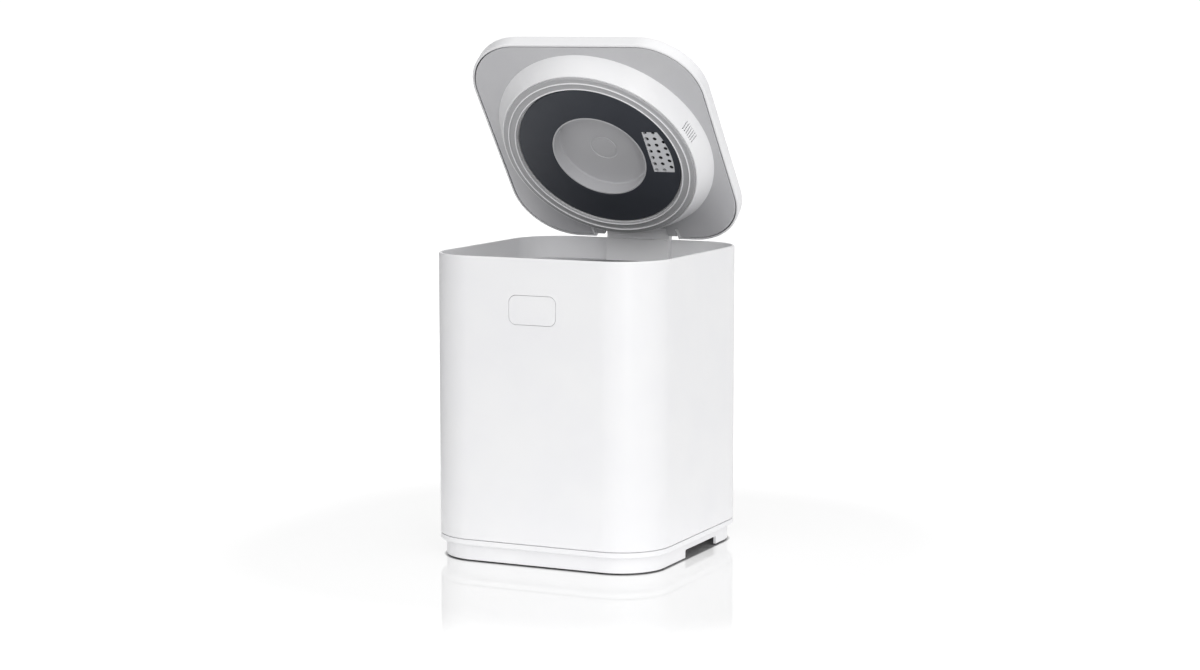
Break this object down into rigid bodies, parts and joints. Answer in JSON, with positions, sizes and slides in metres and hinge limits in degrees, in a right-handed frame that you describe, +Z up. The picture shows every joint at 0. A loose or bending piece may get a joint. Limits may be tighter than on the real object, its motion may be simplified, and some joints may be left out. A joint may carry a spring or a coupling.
{
  "type": "electric food waste composter",
  "caption": "Countertop electric composter: heated stirred bucket in a white rounded square casing, hinged lid with carbon filter, geared drive and exhaust fan.",
  "frame": {"origin": "on the floor under the middle of the casing", "axes": "+Z up, -Y towards the front with the button, +X to the right of someone facing the front"},
  "size_m": [0.28, 0.2813, 0.5654],
  "materials": {
    "white_abs": "satin moulded white",
    "light_grey_abs": "satin light grey",
    "light_grey_grille": "satin light grey",
    "charcoal_abs": "fine matte charcoal",
    "grey_silicone": "soft matte grey",
    "black_rubber": "matte",
    "black_plastic": "matte",
    "active_carbon": "granular black",
    "coated_aluminium": "dark non-stick coating",
    "cast_aluminium": "bare",
    "steel": "brushed",
    "claw_nylon": "moulded",
    "gear_acetal": "moulded",
    "brass": "turned",
    "housing_nylon": "moulded",
    "mica_heater": "mica and foil",
    "felt": "fibre blanket",
    "standoff_ceramic": "ceramic",
    "zinc_screws": "zinc plated",
    "nickel": "nickel plated",
    "circuit_board": "solder mask",
    "wire_red": "sleeve",
    "wire_black": "sleeve"
  },
  "bodies": {
    "casing": {"base_plinth": "white_abs", "rubber_feet": "black_rubber", "outer_shell": "white_abs", "top_deck": "light_grey_abs", "hinge_block": "white_abs", "block_screws": "zinc_screws", "bucket": "coated_aluminium", "bucket_bush": "steel", "bail_rivets": "steel", "fixed_blades": "steel", "heating_well": "cast_aluminium", "well_seal": "black_rubber", "heater_band": "mica_heater", "insulation_sleeve": "felt", "heat_sensor": "black_plastic", "well_standoffs": "standoff_ceramic", "gearbox_housing": "housing_nylon", "motor_screws": "zinc_screws", "drive_plate": "steel", "plate_screws": "zinc_screws", "shaft_bushes": "brass", "idler_axle": "steel", "drive_motor": "steel", "exhaust_duct": "white_abs", "fan_housing": "black_plastic", "exhaust_grille": "white_abs", "fan_screws": "zinc_screws", "control_board": "circuit_board", "board_screws": "zinc_screws", "power_board": "circuit_board", "power_inlet": "black_plastic", "inlet_pins": "nickel", "lid_switch": "black_plastic", "motor_leads": "wire_red", "inlet_lead": "wire_black", "fan_lead": "wire_black", "panel_lead": "wire_black"},
    "lid": {"lid_cover": "white_abs", "lid_liner": "light_grey_abs", "lid_screws": "zinc_screws", "hinge_pins": "steel", "friction_washers": "steel", "filter_drum": "white_abs", "lid_gasket": "grey_silicone", "filter_cap": "charcoal_abs", "inlet_grille": "light_grey_grille", "grip_cup": "light_grey_abs", "carbon_filter": "active_carbon", "lid_magnet": "nickel"},
    "button": {"start_button": "white_abs"},
    "bail": {"bail_handle": "steel"},
    "rotor": {"stirring_rotor": "steel", "driven_claw": "claw_nylon", "drive_claw": "claw_nylon", "output_shaft": "steel", "output_gear": "gear_acetal"},
    "idler": {"idler_gear": "gear_acetal"},
    "motor_rotor": {"motor_pinion": "brass", "motor_shaft": "steel"},
    "impeller": {"fan_impeller": "black_plastic"}
  },
  "joints": [
    {"name": "lid_hinge", "type": "hinge", "parent": "casing", "child": "lid", "pos_m": [0, 0.1355, 0.346], "axis": [-1, 0, 0], "range_deg": [-52, 38]},
    {"name": "button_press", "type": "slide", "parent": "casing", "child": "button", "axis": [0, 1, 0], "range_m": [0, 0.001], "stiffness_N_per_m": 900},
    {"name": "bail_swing", "type": "hinge", "parent": "casing", "child": "bail", "pos_m": [0, 0, 0.3], "axis": [-1, 0, 0], "range_deg": [0, 180]},
    {"name": "rotor_spin", "type": "hinge", "parent": "casing", "child": "rotor", "pos_m": [0, 0, 0.15], "axis": [0, 0, 1], "continuous": true},
    {"name": "idler_spin", "type": "hinge", "parent": "casing", "child": "idler", "pos_m": [-0.04193, -0.03159, 0.08], "axis": [0, 0, 1], "continuous": true},
    {"name": "motor_spin", "type": "hinge", "parent": "casing", "child": "motor_rotor", "pos_m": [-0.0645, -0.00165, 0.08], "axis": [0, 0, 1], "continuous": true},
    {"name": "fan_spin", "type": "hinge", "parent": "casing", "child": "impeller", "pos_m": [0.048, 0.123, 0.062], "axis": [0, 1, 0], "continuous": true}
  ],
  "couplings": [
    {"joint": "idler_spin", "follows": "rotor_spin", "ratio": -4},
    {"joint": "motor_spin", "follows": "rotor_spin", "ratio": 16}
  ]
}
